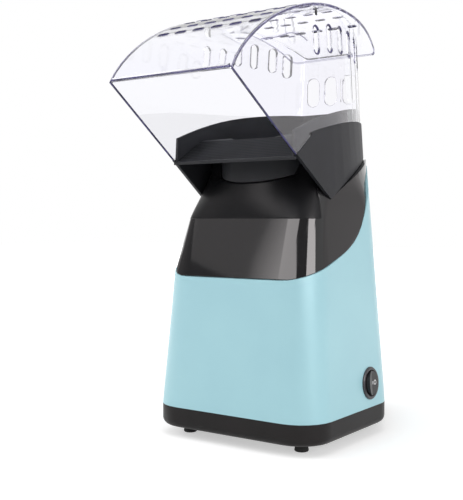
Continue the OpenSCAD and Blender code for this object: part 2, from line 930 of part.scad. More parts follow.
// Round board under the motor with four rectifier diodes
module rectifier_board() {
    color("#3f6b4a")
        around_axis()
            union() {
                translate([0, 0, motor_bottom - 4.6])
                    difference() {
                        cylinder(r = motor_r - 1, h = 1.6, $fn = 64);
                        translate([0, 0, -1])
                            cylinder(r = 6, h = 4, $fn = 40);
                    }
                for (a = [45 : 90 : 315])
                    rotate([0, 0, a])
                        translate([10, -2.5, motor_bottom - 5.6])
                            rotate([-90, 0, 0])
                                cylinder(r = 1.4, h = 5, $fn = 24);
            }
}

// ---- power switch -------------------------------------------------------------------------------

bezel_bore = rocker_r + 0.75;
bezel_t = 1.5;
pin_r = 1.2;
pin_depth = 1.2;

module switch_bezel() {
    color("#2a2a2c")
        at_switch()
            difference() {
                rotate_extrude($fn = 72)
                    polygon([[0, -15], [barrel_r, -15], [barrel_r, 0.05], [bezel_r, 0.05], [bezel_r, bezel_t - 0.7],
                             [bezel_r - 0.7, bezel_t], [0, bezel_t]]);
                translate([0, 0, -13])
                    cylinder(r = bezel_bore, h = 20, $fn = 72);
                translate([0, 0, -pin_depth])
                    rotate([90, 0, 0])
                        cylinder(r = pin_r + run_gap, h = 2 * bezel_bore + 0.8, center = true, $fn = 32);
                for (u = [-4, 4])
                    translate([u, 0, -14])
                        cube([1, 6.5, 4], center = true);
            }
}

// Round rocker with two faces that meet in a shallow valley; at rest it is tilted by half its swing
module rocker() {
    half = rocker_swing / 2;
    valley = bezel_t + pin_depth + 0.1;
    edge = valley + 10 * tan(half);
    color("#303033")
        at_switch()
            translate([0, 0, -pin_depth])
                rotate([0, half, 0])
                    union() {
                        intersection() {
                            cylinder(r = rocker_r, h = 30, center = true, $fn = 64);
                            rotate([90, 0, 0])
                                linear_extrude(40, center = true)
                                    polygon([[0, valley], [-10, edge], [-8.4, -3.6], [0, -4.8], [8.4, -3.6],
                                             [10, edge]]);
                        }
                        rotate([90, 0, 0])
                            cylinder(r = pin_r, h = 2 * bezel_bore + 0.4, center = true, $fn = 32);
                    }
}

module switch_terminals() {
    color("#c9a34e")
        at_switch()
            for (u = [-4, 4])
                translate([u, 0, -17.6])
                    cube([0.8, 6.3, 9], center = true);
}

base_tray();
foot_front_left();
foot_front_right();
foot_rear_left();
foot_rear_right();
housing_shell();
cowl();
chute();
hood_walls();
hood_roof();
popping_chamber();
chamber_seal();
heat_duct();
mica_board_a();
mica_board_b();
heater_coil();
thermal_cutoff();
thermal_fuse();
fan_deck();
motor_can();
motor_endcap();
bearing_upper();
bearing_lower();
motor_shaft();
armature();
fan();
rectifier_board();
switch_bezel();
rocker();
switch_terminals();
cord_inlet();
base_screws();
deck_screws();
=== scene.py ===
"""Hot-air popcorn maker with a pale blue housing, a black cowl and a clear lift-off hood."""

import bmesh
import bpy
import numpy as np
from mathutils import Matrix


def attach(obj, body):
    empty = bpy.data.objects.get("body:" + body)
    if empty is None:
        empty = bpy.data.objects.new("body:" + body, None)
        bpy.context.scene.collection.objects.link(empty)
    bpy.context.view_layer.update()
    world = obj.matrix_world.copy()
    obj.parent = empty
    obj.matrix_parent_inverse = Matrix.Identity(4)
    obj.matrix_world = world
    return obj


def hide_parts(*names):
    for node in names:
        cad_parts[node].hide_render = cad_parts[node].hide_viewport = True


# Shapes are worked out in millimetres, x to the right, y to the rear and z up. The studio is in metres.
MM = 0.001
AXIS_Y = 8.0  # the chamber's axis
CREASE_Z = 159.0  # the crease round the cowl's front
ARC_STEPS = 24  # points along each arc of a plan

# Plans of the hood's walls and of its roof: half width, front, corner, side, flank, rear, rear corner,
# and the lean of the flank in degrees. The plan of the walls runs on past their front.
HOOD_PLAN = (51.4, 142.55, 6, 190, 64.9, 87, 6, 27.5)
ROOF_PLAN = (49.6, 122.0, 1, 300, 60.1, 90, 5, 14.5)
# Plans of the cowl from its crease up: height, half width in front, then as above with a lean of their own
COWL_LEAN = 26.5
COWL_STATIONS = np.array([
    [CREASE_Z, 57.5, 60.93, 39.5, 20, 25, 71.9, 102, 22],
    [175, 54.5, 58.5, 29.3, 20, 40, 70.4, 99.6, 20],
    [190, 53.5, 54.5, 21, 18, 95, 68.8, 97.4, 16],
    [206, 53, 53.6, 15, 16, 150, 67.8, 95, 12]])

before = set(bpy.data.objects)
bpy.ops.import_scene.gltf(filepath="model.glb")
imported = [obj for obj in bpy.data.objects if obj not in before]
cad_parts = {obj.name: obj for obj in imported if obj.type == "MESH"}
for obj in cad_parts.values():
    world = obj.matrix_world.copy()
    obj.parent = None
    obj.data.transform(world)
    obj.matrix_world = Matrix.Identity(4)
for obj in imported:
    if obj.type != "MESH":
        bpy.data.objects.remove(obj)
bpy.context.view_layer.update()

# ---- camera --------------------------------------------------------------------------------------

camera = bpy.data.objects.new("camera", bpy.data.cameras.new("camera"))
camera.data.sensor_width = 36.0
camera.data.lens = 63.44
camera.data.clip_start = 0.05
camera.location = (0.35825, -0.5515, 0.15791)
camera.rotation_euler = np.radians((88.06, 0.0, 35.69))
bpy.context.scene.collection.objects.link(camera)
bpy.context.scene.camera = camera

# ---- shapes --------------------------------------------------------------------------------------


def surface(name, grid, close_u=False, close_v=False):
    """Mesh of k grids of n by m points in metres: each point is joined by quads to its neighbours along both
    parameters, and points that meet at a pole become one."""
    grid = np.asarray(grid, float)
    grid = grid[None] if grid.ndim == 3 else grid
    index = np.arange(grid[..., 0].size).reshape(grid.shape[:3])
    if close_u:
        index = np.concatenate([index, index[:, :1]], 1)
    if close_v:
        index = np.concatenate([index, index[:, :, :1]], 2)
    quads = np.stack([index[:, :-1, :-1], index[:, 1:, :-1], index[:, 1:, 1:], index[:, :-1, 1:]], -1)
    mesh = bpy.data.meshes.new(name)
    mesh.from_pydata(grid.reshape(-1, 3).tolist(), [], quads.reshape(-1, 4).tolist())
    form = bmesh.new()
    form.from_mesh(mesh)
    bmesh.ops.remove_doubles(form, verts=form.verts, dist=1e-7)
    bmesh.ops.recalc_face_normals(form, faces=form.faces)
    form.to_mesh(mesh)
    form.free()
    mesh.shade_smooth()
    piece = bpy.data.objects.new(name, mesh)
    bpy.context.scene.collection.objects.link(piece)
    return piece


def rod(name, paths, radius, closed=False, sides=8, lead=(0.0, 0.0, 1.0)):
    """Round rod along each path: a path point plus radius times (cos a times across plus sin a times
    up). Across is the path's direction crossed with lead. An open rod ends in a pole."""
    paths = np.asarray(paths, float) * MM
    paths = paths[None] if paths.ndim == 2 else paths
    if closed:
        along = np.roll(paths, -1, 1) - np.roll(paths, 1, 1)
    else:
        along = np.gradient(paths, axis=1)
    across = np.cross(along, lead)
    across /= np.linalg.norm(across, axis=-1, keepdims=True)
    up = np.cross(across, along)
    up /= np.linalg.norm(up, axis=-1, keepdims=True)
    turn = np.linspace(0, 2 * np.pi, sides, endpoint=False)
    rim = np.cos(turn)[:, None] * across[:, :, None] + np.sin(turn)[:, None] * up[:, :, None]
    grid = paths[:, :, None] + radius * MM * rim
    if not closed:
        pole = np.ones((1, 1, sides, 1))
        grid = np.concatenate([paths[:, :1, None] * pole, grid, paths[:, -1:, None] * pole], 1)
    return surface(name, grid, closed, True)


def bezier(a, b, c, d, n):
    """Cubic Bezier curve: the four points weighted by the Bernstein polynomials of n + 1 even steps."""
    t = np.linspace(0, 1, n + 1)[:, None]
    s = 1 - t
    a, b, c, d = (np.asarray(p, float) for p in (a, b, c, d))
    return s**3 * a + 3 * s * s * t * b + 3 * s * t * t * c + t**3 * d


def half_plan(half, front, corner, side, flank, rear, rear_corner, lean, inset=0.0, narrow=None):
    """Right half of a plan from front to rear: a corner arc, a long side arc and a rear corner arc, each
    running into the next without a kink. The flank leans inwards by lean degrees, inset shortens each
    radius, and narrow is the half width in front where it differs."""
    phi = np.radians(lean)
    radius = np.array([corner, side, rear_corner])
    centre = np.array([
        [(narrow or half) - corner, corner - front],
        [half - side, (flank - side - (half - side) * np.cos(phi)) / np.sin(phi)],
        [(flank - rear_corner - (rear - rear_corner) * np.sin(phi)) / np.cos(phi), rear - rear_corner]])
    way = centre[1] - centre[0]
    turn = np.arctan2(way[1], way[0]) - np.arccos(np.clip((corner - side) / np.hypot(*way), -1, 1))
    turn = turn + 2 * np.pi if turn < -np.pi else turn
    ends = np.array([-np.pi / 2, turn, phi, np.pi / 2])
    angle = ends[:-1, None] + (ends[1:] - ends[:-1])[:, None] * np.linspace(0, 1, ARC_STEPS)
    spokes = np.stack([np.cos(angle), np.sin(angle)], -1)
    return (centre[:, None] + (radius - inset)[:, None, None] * spokes).reshape(-1, 2)


def hood_half_width(y, z, depth):
    """Half width of the hood's walls at y and z, depth below their outer face: their plan, drawn in by the
    draft for each millimetre above the plan's own height."""
    plan_z, draft = 226.0, 0.055
    outline = half_plan(*HOOD_PLAN, depth)
    return np.interp(y, outline[:, 1], outline[:, 0]) - draft * (np.asarray(z) - plan_z)


def roof_height(y, drop):
    """Height of the roof at y, drop below its upper face, read off its side view: a long arch from the
    front lip to the crown and a short one down to the rear."""
    crown = (AXIS_Y, 310.1 - drop)
    front = bezier((-122.55 + 0.8 * drop, 248.8), (-102.9 + 0.6 * drop, 281.1 - 0.6 * drop),
                   (-45.3, crown[1]), crown, 40)
    rear = bezier(crown, (45, crown[1]), (72, 304 - drop), (92, 290 - drop), 24)
    line = np.concatenate([front, rear[1:]])
    return np.interp(y, line[:, 0], line[:, 1])


def slot_outline(length, width):
    """Outline of a slot with round ends, as (along, across) from its centre: two half circles of nine
    points, length minus width apart."""
    angle = np.linspace(-np.pi / 2, np.pi / 2, 9)
    cap = width / 2 * np.stack([np.cos(angle), np.sin(angle)], -1) + [(length - width) / 2, 0]
    return np.concatenate([cap, -cap])


def eased(node, turn=30.0):
    """Merged copy of a faceted moulding: facets that turn by less than turn degrees are shaded as one
    curve, and every other edge stays crisp."""
    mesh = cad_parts[node].data.copy()
    mesh.name = node + "_skin"
    form = bmesh.new()
    form.from_mesh(mesh)
    bmesh.ops.remove_doubles(form, verts=form.verts, dist=2e-6)
    form.to_mesh(mesh)
    form.free()
    if "custom_normal" in mesh.attributes:
        mesh.attributes.remove(mesh.attributes["custom_normal"])
    mesh.shade_smooth()
    mesh.set_sharp_from_angle(angle=np.radians(turn))
    piece = bpy.data.objects.new(node + "_skin", mesh)
    bpy.context.scene.collection.objects.link(piece)
    shading = piece.modifiers.new("even_shading", "WEIGHTED_NORMAL")
    shading.keep_sharp = True
    return piece


# ---- finishes ------------------------------------------------------------------------------------


def linear(code):
    """Linear colour of an sRGB hex code: each channel undone by the sRGB curve."""
    srgb = np.array([int(code[i:i + 2], 16) for i in (1, 3, 5)]) / 255
    rgb = np.where(srgb <= 0.04045, srgb / 12.92, ((srgb + 0.055) / 1.055) ** 2.4)
    return (*rgb.tolist(), 1.0)


def add(tree, kind, settings=(), links=()):
    """Adds a node. A setting is a property of the node or the value of a socket, and a link feeds a
    socket."""
    node = tree.nodes.new(kind)
    for key, value in dict(settings).items():
        if isinstance(key, str) and key not in node.inputs:
            setattr(node, key, value)
        else:
            node.inputs[key].default_value = value
    for key, source in dict(links).items():
        tree.links.new(source, node.inputs[key])
    return node


def start(name):
    """New material: its node tree, its output node and its Object coordinates in metres."""
    material = bpy.data.materials.new(name)
    material.use_nodes = True
    tree = material.node_tree
    tree.nodes.clear()
    output = add(tree, "ShaderNodeOutputMaterial")
    place = add(tree, "ShaderNodeTexCoord").outputs["Object"]
    return material, tree, output, place


def moulded(name, shades, rough, grain, depth, ior=1.53, drift=40.0, edge=0.4, stretch=(1, 1, 1), gloss=0.5):
    """Injection-moulded plastic or pressed stock. Shades are the two colours it drifts between over drift
    mm, rough its lowest and highest roughness, grain and depth the size and the relief of its surface
    texture in mm, edge the rounding of its edges in mm and gloss how much of a smooth face's mirror its
    texture leaves."""
    material, tree, output, place = start(name)
    spread = add(tree, "ShaderNodeMapping", {"Scale": stretch}, {"Vector": place}).outputs[0]
    cloud = add(tree, "ShaderNodeTexNoise",
                {"Scale": 1000 / drift, "Detail": 3.0, "Roughness": 0.55}, {"Vector": place})
    tint = add(tree, "ShaderNodeValToRGB", {}, {"Fac": cloud.outputs["Fac"]})
    for stop, position, shade in zip(tint.color_ramp.elements, (0.3, 0.7), shades):
        stop.position, stop.color = position, linear(shade)
    skin = add(tree, "ShaderNodeTexNoise", {"Scale": 1000 / grain, "Detail": 2.0}, {"Vector": spread})
    polish = add(tree, "ShaderNodeMapRange",
                 {"To Min": rough[0], "To Max": rough[1]}, {"Value": skin.outputs["Fac"]})
    corner = add(tree, "ShaderNodeBevel", {"samples": 4, "Radius": edge * MM})
    relief = add(tree, "ShaderNodeBump", {"Strength": 1.0, "Distance": depth * MM},
                 {"Height": skin.outputs["Fac"], "Normal": corner.outputs[0]})
    shader = add(tree, "ShaderNodeBsdfPrincipled", {"IOR": ior, "Specular IOR Level": gloss},
                 {"Base Color": tint.outputs["Color"], "Roughness": polish.outputs[0],
                  "Normal": relief.outputs[0]})
    tree.links.new(shader.outputs[0], output.inputs["Surface"])
    return material, shader


def metal(name, shades, rough, grain, depth, stretch=(1, 1, 1), drift=20.0):
    """Bare metal: as moulded plastic, but metallic. Stretch draws the grain out along the direction it was
    brushed, drawn or spun in."""
    material, shader = moulded(name, shades, rough, grain, depth, 1.5, drift, 0.2, stretch)
    shader.inputs["Metallic"].default_value = 1.0
    return material


def mirror_black():
    """Black ABS from a mirror-polished tool: crisp reflections below the crease, softer ones in front above
    it. The roughness gains the product of two straight ramps, one that climbs to 0.18 within 4.4 mm of
    height and one that climbs to 1 towards the front."""
    material, shader = moulded("mirror_black_abs", ("#131315", "#171719"), (0.05, 0.08), 5.0, 0.003)
    tree = material.node_tree
    spot = add(tree, "ShaderNodeSeparateXYZ", {}, {0: add(tree, "ShaderNodeTexCoord").outputs["Object"]})
    above = add(tree, "ShaderNodeMapRange",
                {"From Min": 158.6 * MM, "From Max": 163.0 * MM, "To Min": 0.0, "To Max": 0.18},
                {"Value": spot.outputs["Z"]})
    ahead = add(tree, "ShaderNodeMapRange",
                {"From Min": 4.0 * MM, "From Max": -24.0 * MM, "To Min": 0.0, "To Max": 1.0},
                {"Value": spot.outputs["Y"]})
    rough = shader.inputs["Roughness"]
    satin = add(tree, "ShaderNodeMath", {"operation": "MULTIPLY_ADD"},
                {0: above.outputs[0], 1: ahead.outputs[0], 2: rough.links[0].from_socket})
    tree.links.new(satin.outputs[0], rough)
    return material


def clear_plastic():
    """Clear polycarbonate, moulded: refracts what is behind it, mirrors the room faintly, and lets the lamps
    through to what it covers. Slow flow lines, about 30 mm apart, waver its shine."""
    material, tree, output, place = start("clear_polycarbonate")
    flow = add(tree, "ShaderNodeTexNoise", {"Scale": 33.0, "Detail": 1.0}, {"Vector": place})
    relief = add(tree, "ShaderNodeBump",
                 {"Strength": 1.0, "Distance": 0.04 * MM}, {"Height": flow.outputs["Fac"]})
    polish = add(tree, "ShaderNodeMapRange", {"To Min": 0.0, "To Max": 0.02}, {"Value": flow.outputs["Fac"]})
    glass = add(tree, "ShaderNodeBsdfPrincipled",
                {"Base Color": linear("#fbfbff"), "IOR": 1.5, "Transmission Weight": 1.0},
                {"Roughness": polish.outputs[0], "Normal": relief.outputs[0]})
    lamp_light = add(tree, "ShaderNodeBsdfTransparent", {"Color": linear("#f4f4f8")})
    ray = add(tree, "ShaderNodeLightPath")
    shader = add(tree, "ShaderNodeMixShader", {},
                 {0: ray.outputs["Is Shadow Ray"], 1: glass.outputs[0], 2: lamp_light.outputs[0]})
    tree.links.new(shader.outputs[0], output.inputs["Surface"])
    return material


def edge_shade_line(name, dark, pale, weight):
    """Edge of clear polycarbonate seen edge-on, where light that travels inside the sheet is lost: painted
    shade, a darker line whose depth varies over about 9 mm."""
    material, tree, output, place = start(name)
    patch = add(tree, "ShaderNodeTexNoise", {"Scale": 110.0, "Detail": 2.0}, {"Vector": place})
    tint = add(tree, "ShaderNodeValToRGB", {}, {"Fac": patch.outputs["Fac"]})
    for stop, position, shade in zip(tint.color_ramp.elements, (0.35, 0.72), (dark, pale)):
        stop.position, stop.color = position, linear(shade)
    polish = add(tree, "ShaderNodeMapRange", {"To Min": 0.1, "To Max": 0.3}, {"Value": patch.outputs["Fac"]})
    shader = add(tree, "ShaderNodeBsdfPrincipled", {"IOR": 1.5, "Transmission Weight": weight},
                 {"Base Color": tint.outputs["Color"], "Roughness": polish.outputs[0]})
    tree.links.new(shader.outputs[0], output.inputs["Surface"])
    return material


# The textures of mouldings and metals are mostly finer in life, and are drawn wide enough to show.
# Gloss ABS, moulded in a polished tool: a clean pale blue with a barely rippled shine
blue_abs = moulded("moulded_blue_abs", ("#a8d5df", "#acd9e2"), (0.3, 0.36), 1.6, 0.004, gloss=0.4)[0]
cowl_abs = mirror_black()
# The same ABS where the tool is lightly blasted, above the crease: satin, nearly without shine
cowl_satin = moulded("satin_black_abs", ("#131315", "#171719"), (0.32, 0.4), 0.6, 0.004, gloss=0.14)[0]
# Black polypropylene with a spark-eroded grain, drawn 0.7 mm wide: a soft grey bloom
chute_pp = moulded("grained_black_polypropylene", ("#1e1f22", "#25262a"), (0.45, 0.58), 0.7, 0.03,
                   ior=1.49, gloss=0.25)[0]
# The same resin on the chute's floor, its colour darkened with painted shade, and duller, rubbed by falling
# popcorn, with less grain left
shaded_floor_pp = moulded("shaded_rubbed_black_polypropylene", ("#18191b", "#1f2023"), (0.62, 0.75), 0.7, 0.02,
                   ior=1.49, gloss=0.12)[0]
# Dark warm-grey ABS with a fine satin grain
tray_abs = moulded("satin_dark_abs", ("#1b1919", "#221f1f"), (0.38, 0.48), 0.8, 0.012, gloss=0.16)[0]
# Thermoplastic rubber: black, dull, slightly dusty
foot_tpr = moulded("dull_black_rubber", ("#151515", "#1e1d1d"), (0.62, 0.8), 1.1, 0.03, ior=1.5, drift=6.0)[0]
# Glass-filled nylon of the switch's bezel: satin, a very dark grey
switch_nylon = moulded("satin_black_nylon", ("#323033", "#38363a"), (0.3, 0.4), 0.6, 0.01,
                       edge=0.3, gloss=0.4)[0]
# The rocker's nylon: deeper black, smoother than the bezel
rocker_nylon = moulded("gloss_black_nylon", ("#141416", "#19191b"), (0.3, 0.4), 0.6, 0.006,
                       edge=0.3, gloss=0.3)[0]
# Silicone gasket: brick red, dull
silicone = moulded("brick_red_silicone", ("#a4432c", "#b04c33"), (0.5, 0.62), 1.0, 0.02, ior=1.41)[0]
# Mica paper: pressed flakes a few millimetres wide
mica = moulded("pressed_mica_paper", ("#cdbb90", "#ddcfa9"), (0.3, 0.6), 2.5, 0.05, ior=1.58, drift=5.0)[0]
# Steatite ceramic: off-white, matte
steatite = moulded("fired_steatite", ("#e0dccf", "#e9e6dc"), (0.45, 0.6), 0.8, 0.02, ior=1.56)[0]
# Glass-epoxy circuit board under solder resist: a smooth, slightly mottled green
board = moulded("green_solder_resist", ("#35624a", "#3f7052"), (0.22, 0.34), 1.2, 0.01, ior=1.56)[0]
# White marking ink, pad-printed: flat and even
marking_ink = moulded("white_pad_print", ("#e9e9e9", "#f4f4f4"), (0.4, 0.5), 0.4, 0.003, edge=0.02)[0]

# Deep-drawn aluminium, its drawing marks running up the wall
drawn_aluminium = metal("drawn_aluminium", ("#c6c8ca", "#d2d4d5"), (0.22, 0.38), 0.6, 0.01, (1, 1, 0.06))
# Galvanised steel sheet with spangles a few millimetres wide
galvanised = metal("galvanised_steel", ("#8b8d8f", "#a2a4a6"), (0.3, 0.5), 3.0, 0.01, drift=4.0)
# Oxidised heating wire: dull, a brownish grey
heating_wire = metal("oxidised_nichrome", ("#5c5752", "#7b756d"), (0.4, 0.6), 0.5, 0.02, drift=3.0)
# Sintered bronze, full of fine pores
bronze = metal("sintered_bronze", ("#9c7a48", "#b08d57"), (0.4, 0.55), 0.35, 0.03)
# Ground steel: fine rings round the shaft
ground_steel = metal("ground_steel", ("#c4c6c8", "#d2d4d6"), (0.14, 0.26), 0.4, 0.004, (0.1, 0.1, 1))
# Stacked laminations, half a millimetre each, with enamelled copper over them
laminations = metal("stacked_laminations", ("#8a5a3c", "#9a6a4a"), (0.35, 0.5), 0.5, 0.03, (0.05, 0.05, 1))

clear_pc = clear_plastic()
# Painted shade in three depths: lines that stand for edges of the clear hood seen edge-on
dark_edge_shade = edge_shade_line("indigo_edge_shade_polycarbonate", "#2c2852", "#5d5890", 0.15)
lilac_edge_shade = edge_shade_line("lilac_edge_shade_polycarbonate", "#8580ad", "#c3c0da", 0.3)
faint_edge_shade = edge_shade_line("faint_edge_shade_polycarbonate", "#cdccd7", "#e8e7ee", 0.5)


def fit(piece, body, slot, finish, *nodes):
    """Gives a piece its finish and the CAD body that it rides on, and hides the CAD nodes it stands for."""
    piece.data.materials.clear()
    piece.data.materials.append(finish)
    if nodes:
        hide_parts(*nodes)
    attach(piece, body)


# ---- front shoulder of the cowl ------------------------------------------------------------------


def cowl_radius(z, angle):
    """Distance of the cowl's outer face from the chamber's axis, at each z and at each angle from straight
    ahead: its plan, whose values run through the stations as a Catmull-Rom spline."""
    first, last = 2 * COWL_STATIONS[0] - COWL_STATIONS[1], 2 * COWL_STATIONS[-1] - COWL_STATIONS[-2]
    stations = np.concatenate([[first], COWL_STATIONS, [last]])
    levels = []
    for a, b, c, d in zip(stations, stations[1:], stations[2:], stations[3:]):
        for t in (0, 1 / 3, 2 / 3):
            bend = (2 * a - 5 * b + 4 * c - d) * t * t + (3 * b - 3 * c + d - a) * t**3
            levels.append(b + ((c - a) * t + bend) / 2)
    rings = []
    for _, narrow, *plan in levels:
        arcs = half_plan(*plan, COWL_LEAN, narrow=narrow)
        front = np.linspace((0, arcs[0, 1]), arcs[0], 40)
        side = np.linspace(arcs[ARC_STEPS - 1], arcs[ARC_STEPS], 40)[1:-1]
        x, y = np.concatenate([front, arcs[1:ARC_STEPS], side, arcs[ARC_STEPS:]]).T
        rings.append(np.interp(angle, np.arctan2(x, AXIS_Y - y), np.hypot(x, y - AXIS_Y)))
    heights, rings = np.array(levels)[:, 0], np.array(rings)
    return np.stack([np.interp(z[:, i], heights, rings[:, i]) for i in range(len(angle))], 1)


def cowl_shoulder():
    """Front of the cowl between its crease and the slanted ring under the chute's neck, as angle round the
    axis by height: a cone from the crease to the ring's rim, joined to the cowl's own corners by a soft
    maximum and proud of them, then straight in to the collar, and back down inside the wall. Past 59
    degrees it dives into the cowl's wall, and above 164 it keeps inside the chute's skirt."""
    rim, collar = 43.6, 41.3  # radii of the slanted ring
    plane_z, plane_y, slope = 184.5, -34.0, 0.383  # a point of the ring's plane, and its rise along y
    ease, proud, wall, lower = 3.5, 0.12, 1.6, 0.6
    angle = np.radians(np.linspace(-96, 96, 193))
    climb = np.linspace(0, 1, 34)[:, None]
    top = plane_z + slope * (AXIS_Y - rim * np.cos(angle) - plane_y)
    z = CREASE_Z + climb * (top - CREASE_Z)
    own = cowl_radius(z, np.abs(angle))
    cone = own[:1] + climb * (rim - own[:1])
    soft = np.sqrt((own - cone) ** 2 + (ease * np.sin(np.pi * climb)) ** 2)
    radius = (own + cone + soft) / 2 + proud * np.minimum(1, 12 * climb)
    radius -= np.interp(np.abs(np.degrees(angle)), (59, 61), (0, 1.1))
    ring = collar + np.linspace(1, 0, 8)[:, None] * (radius[-1:] - collar)
    ring_z = z[-1:] - slope * (ring - radius[-1:]) * np.cos(angle)
    radius = np.concatenate([radius, ring, (radius - wall)[::-1]])
    z = np.concatenate([z, ring_z, (z - lower)[::-1]])
    x, y = radius * np.sin(angle), AXIS_Y - radius * np.cos(angle)
    skirt = np.interp(z, (164, 171), (70, 52.5))
    return surface("cowl_shoulder", np.stack([np.clip(x, -skirt, skirt), y, z], -1) * MM, True)


# ---- mouldings -----------------------------------------------------------------------------------

fit(eased("base_tray"), "base", "dark_plastic", tray_abs, "base_tray")
fit(eased("housing_shell"), "base", "blue_plastic", blue_abs, "housing_shell")
fit(eased("cowl", 14.0), "base", "cowl_plastic", cowl_abs, "cowl")
fit(cowl_shoulder(), "base", "cowl_plastic", cowl_satin)
fit(eased("chute"), "cover", "chute_plastic", chute_pp, "chute")
fit(eased("hood_walls"), "cover", "clear_plastic", clear_pc, "hood_walls")
fit(eased("hood_roof"), "cover", "clear_plastic", clear_pc, "hood_roof")

# The other CAD nodes keep their own meshes
finishes = {
    "foot_front_left": foot_tpr, "foot_front_right": foot_tpr, "foot_rear_left": foot_tpr,
    "foot_rear_right": foot_tpr, "popping_chamber": drawn_aluminium, "chamber_seal": silicone,
    "heat_duct": galvanised, "mica_board_a": mica, "mica_board_b": mica, "heater_coil": heating_wire,
    "thermal_cutoff": steatite, "thermal_fuse": steatite, "fan_deck": galvanised,
    "motor_can": galvanised, "motor_endcap": tray_abs, "bearing_upper": bronze, "bearing_lower": bronze,
    "motor_shaft": ground_steel, "armature": laminations, "fan": tray_abs, "rectifier_board": board,
    "switch_bezel": switch_nylon, "rocker": rocker_nylon, "switch_terminals": bronze,
    "cord_inlet": tray_abs, "base_screws": ground_steel, "deck_screws": ground_steel}
for node, finish in finishes.items():
    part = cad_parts[node]
    if not part.material_slots:
        part.data.materials.append(finish)
    for place in part.material_slots:
        place.material = finish

# ---- edges of the hood's mouth and roof ----------------------------------------------------------


def mouth_edges():
    """Slanted front edge of each wall: a straight line in side view, from the chute's lip to the mouth."""
    lip, mouth = np.array([-52.8, 201.6]), np.array([-121.7, 249.2])
    slant = lip + (mouth - lip) * np.linspace(0, 1, 40)[:, None]
    x = hood_half_width(slant[:, 0], slant[:, 1], 0.5)
    return rod("hood_mouth_edges", [np.column_stack([side * x, slant]) for side in (-1, 1)], 0.6)


def mouth_bar():
    """Bar across the top of the mouth: a straight line from wall to wall."""
    half, y, z = 48.6, -121.85, 250.0
    return rod("hood_mouth_bar", np.linspace((-half, y, z), (half, y, z), 40), 0.65)


def roof_edge(name, drop, thick):
    """Line round the roof's sides and rear, drop below its upper face: its plan at even steps, each at the
    height of the roof."""
    inset, front, side = 0.45, -121.5, -60.0
    half = ROOF_PLAN[0] - inset
    plan = np.concatenate([[[half, front], [half, side]], half_plan(*ROOF_PLAN, inset)[ARC_STEPS:]])
    walk = np.concatenate([[0], np.cumsum(np.hypot(*np.diff(plan, axis=0).T))])
    step = np.linspace(0, walk[-1], 150)
    x, y = np.interp(step, walk, plan[:, 0]), np.interp(step, walk, plan[:, 1])
    x, y = np.concatenate([x, -x[::-1]]), np.concatenate([y, y[::-1]])
    return rod(name, np.column_stack([x, y, roof_height(y, drop)]), thick)


# Painted shade along the edges of the mouth and the roof, where the clear hood is seen edge-on
fit(mouth_edges(), "cover", "clear_plastic", dark_edge_shade)
fit(mouth_bar(), "cover", "clear_plastic", dark_edge_shade)
fit(roof_edge("roof_upper_edge", 0.45, 0.3), "cover", "clear_plastic", lilac_edge_shade)
fit(roof_edge("roof_lower_edge", 1.7, 0.2), "cover", "clear_plastic", lilac_edge_shade)

# ---- details of the roof -------------------------------------------------------------------------


def vent_edges():
    """Moulded edges of the vents, six to a row and nine rows: slot outlines at the roof's height. The five
    front rows have one on each face of the roof, and the other four have one between the faces."""
    vent, pitch = slot_outline(8.5, 3.0), 15.3
    rows = np.array([-80, -67, -51, -37, -21, -4.4, 10.5, 28, 49.7])[:, None, None]
    columns = pitch * np.arange(-2.5, 3)[:, None]
    x, y = np.broadcast_arrays(columns + vent[:, 0], rows + vent[:, 1])
    edges = [np.stack([x[some], y[some], roof_height(y[some], drop)], -1).reshape(-1, len(vent), 3)
             for some, drop in ((slice(5, 9), 1.0), (slice(0, 5), 0.3), (slice(0, 5), 1.8))]
    return rod("roof_vent_edges", np.concatenate(edges), 0.5, True, 6)


def roof_rib():
    """Arched rib under the crown: two Bezier curves in plan, at the height of the roof's lower face."""
    plan = np.concatenate([bezier((-44, 47.5), (-33, 49), (-25, 48), (-18, 44.8), 16),
                           bezier((-18, 44.8), (-12, 42), (-7, 45), (-8.7, 61.8), 16)[1:]])
    return rod("roof_rib", np.column_stack([plan, roof_height(plan[:, 1], 2.2)]), 0.45)


def sink_mark():
    """Short mark beside the rib, darkened with painted shade: a straight line at the height of the roof's
    lower face.
    """
    left, right, y = -19.5, -14.5, 51.7
    z = roof_height(y, 2.1)
    return rod("roof_sink_mark", np.linspace((left, y, z), (right, y, z), 6), 0.6)


# Painted shade on the vents' edges, on the rib and on the mark beside it
fit(vent_edges(), "cover", "clear_plastic", dark_edge_shade)
fit(roof_rib(), "cover", "clear_plastic", lilac_edge_shade)
fit(sink_mark(), "cover", "clear_plastic", dark_edge_shade)

# ---- slots in the hood's walls -------------------------------------------------------------------


def side_slots():
    """Outlines of the six slots in each side wall, the left wall's first: upright slots set into the wall,
    0.9 below its outer face."""
    slot = slot_outline(19.5, 8.0)
    spots = np.array([[-19, 282.5], [0, 286.5], [18, 288.5], [36, 288.5], [55, 287.5], [69, 284.5]])
    y, z = spots[:, :1] + slot[:, 1], spots[:, 1:] + slot[:, 0]
    x = hood_half_width(y, z, 0.9)
    return np.concatenate([np.stack([side * x, y, z], -1) for side in (-1, 1)])


def rear_ovals():
    """Outlines of the three ovals in the rear wall: upright slots side by side."""
    oval, pitch, wall_y, middle_z = slot_outline(23.6, 11.8), 17, 86.1, 263.4
    x = pitch * np.array([-1, 0, 1])[:, None] + oval[:, 1]
    return np.stack(np.broadcast_arrays(x, wall_y, middle_z + oval[:, 0]), -1)


def round_ends(outlines):
    """Half circles of slot outlines, each without its two outermost points, the first ends first."""
    halves = outlines.reshape(len(outlines), 2, -1, 3)[:, :, 1:-1]
    return np.concatenate([halves[:, 0], halves[:, 1]])


slots = side_slots()
x_way, y_way = (1.0, 0.0, 0.0), (0.0, 1.0, 0.0)
